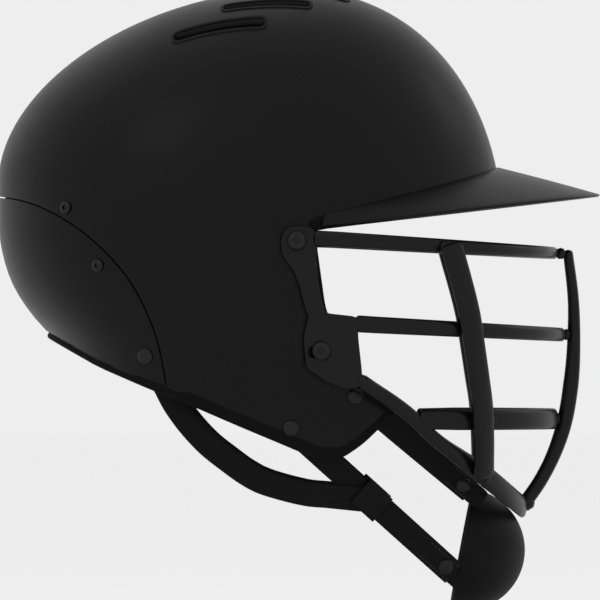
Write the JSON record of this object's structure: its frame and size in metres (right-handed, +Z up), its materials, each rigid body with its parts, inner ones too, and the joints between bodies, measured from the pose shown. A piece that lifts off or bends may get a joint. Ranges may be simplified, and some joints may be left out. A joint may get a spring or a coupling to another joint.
{
  "type": "batting helmet",
  "caption": "Cricket-style batting helmet with a peaked hard shell, rear guard, tilting steel face grille, padded lining and a strapped chin cup.",
  "frame": {"origin": "middle of the head opening, at brow height on the helmet's centre plane", "axes": "+X is the way the wearer faces, towards the peak; +Y is the wearer's left; +Z is up, towards the crown"},
  "size_m": [0.3207, 0.2224, 0.3325],
  "materials": {
    "shell": "satin",
    "moulding": "matte",
    "rubber": "matte",
    "vent_mesh": "matte",
    "foam": "matte",
    "lining": "matte",
    "webbing": "matte",
    "grille": "gloss",
    "fixings": "satin"
  },
  "bodies": {
    "helmet": {"brow_pad": "lining", "crown_pad": "lining", "crown_screw_left": "fixings", "crown_screw_right": "fixings", "crown_shell": "shell", "ear_pad_left": "lining", "ear_pad_right": "lining", "edge_trim": "rubber", "guard_band": "moulding", "guard_screw_left": "fixings", "guard_screw_right": "fixings", "impact_liner": "foam", "lower_rivet_left": "fixings", "lower_rivet_right": "fixings", "nape_pad": "lining", "peak": "shell", "peak_screw_left": "fixings", "peak_screw_middle": "fixings", "peak_screw_right": "fixings", "pivot_nut_left": "fixings", "pivot_nut_right": "fixings", "pivot_screw_left": "fixings", "pivot_screw_right": "fixings", "rear_guard": "shell", "rear_rivet_left": "fixings", "rear_rivet_right": "fixings", "rear_strap_left": "webbing", "rear_strap_right": "webbing", "slot_nut_left": "fixings", "slot_nut_right": "fixings", "slot_screw_left": "fixings", "slot_screw_right": "fixings", "temple_pad_left": "lining", "temple_pad_right": "lining", "upper_rivet_left": "fixings", "upper_rivet_right": "fixings", "vent_mesh_left": "vent_mesh", "vent_mesh_right": "vent_mesh"},
    "grille": {"chin_wire": "grille", "lower_wire": "grille", "middle_upright": "grille", "middle_wire": "grille", "side_bracket_left": "grille", "side_bracket_right": "grille", "side_upright_left": "grille", "side_upright_right": "grille", "upper_wire": "grille"},
    "chin_harness": {"chin_cup": "moulding", "chin_cup_pad": "foam", "lower_strap_left": "webbing", "lower_strap_right": "webbing", "lower_stud_left": "fixings", "lower_stud_right": "fixings", "upper_strap_left": "webbing", "upper_strap_right": "webbing", "upper_stud_left": "fixings", "upper_stud_right": "fixings"},
    "divider_left": {"divider_left": "moulding"},
    "divider_right": {"divider_right": "moulding"}
  },
  "joints": [
    {"name": "grille_tilt", "type": "hinge", "parent": "helmet", "child": "grille", "pos_m": [0.025, 0, -0.006], "axis": [0, -1, 0], "range_deg": [0, 4]},
    {"name": "harness_swing", "type": "hinge", "parent": "helmet", "child": "chin_harness", "pos_m": [0.04, 0, -0.098], "axis": [0, -1, 0], "range_deg": [-18, 0], "deforming": ["upper_strap_left", "upper_strap_right", "lower_strap_left", "lower_strap_right", "rear_strap_left", "rear_strap_right"]},
    {"name": "divider_left_slide", "type": "slide", "parent": "chin_harness", "child": "divider_left", "axis": [0.6834, -0.3913, -0.6163], "range_m": [-0.005, 0.005]},
    {"name": "divider_right_slide", "type": "slide", "parent": "chin_harness", "child": "divider_right", "axis": [0.6834, 0.3913, -0.6163], "range_m": [-0.005, 0.005]}
  ]
}
